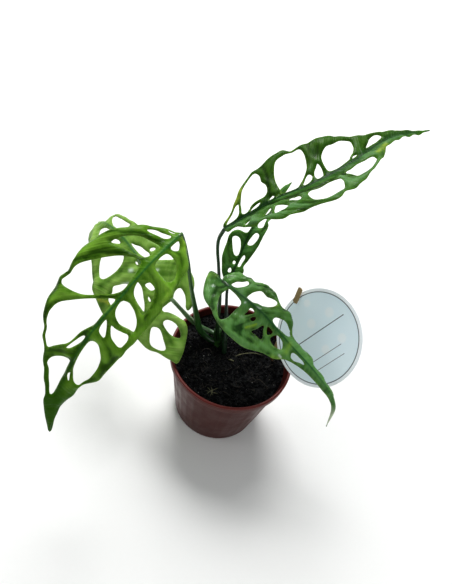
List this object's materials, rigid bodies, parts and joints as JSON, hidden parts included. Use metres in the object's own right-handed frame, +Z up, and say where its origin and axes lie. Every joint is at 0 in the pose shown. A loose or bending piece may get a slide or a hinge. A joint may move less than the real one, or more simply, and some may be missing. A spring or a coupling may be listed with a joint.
{
  "type": "potted monstera obliqua peru",
  "caption": "Young climbing aroid with long, many-holed leaves on thin stalks, growing in a round tapered nursery pot of peat with a blank round plant tag on a stick.",
  "frame": {"origin": "centre of the pot's flat underside", "axes": "+Z up along the pot's axis, -Y towards the viewer of the picture, +X to the viewer's right"},
  "size_m": [0.2108, 0.2617, 0.2176],
  "materials": {
    "pot_plastic": "thin moulded plastic, brick red, satin",
    "peat": "moist black peat with fine brown rootlets, rough",
    "stem_green": "smooth living stem, satin",
    "leaf_fresh_green": "fresh mid-green leaf, satin",
    "leaf_light_green": "light yellow-green leaf, satin",
    "leaf_dark_green": "dark green leaf, satin",
    "leaf_blue_green": "slightly blue-green leaf, satin",
    "tag_card": "pale blue-white sheet with a thin dark ring",
    "stick_wood": "plain unfinished wood"
  },
  "bodies": {
    "root": {"pot": "pot_plastic", "soil": "peat", "stem": "stem_green", "leaf_front_left": "leaf_fresh_green", "leaf_rear_left": "leaf_light_green", "leaf_right": "leaf_dark_green", "leaf_rear": "leaf_dark_green", "leaf_front_right": "leaf_blue_green", "tag_disc": "tag_card", "tag_stick": "stick_wood"}
  },
  "joints": []
}
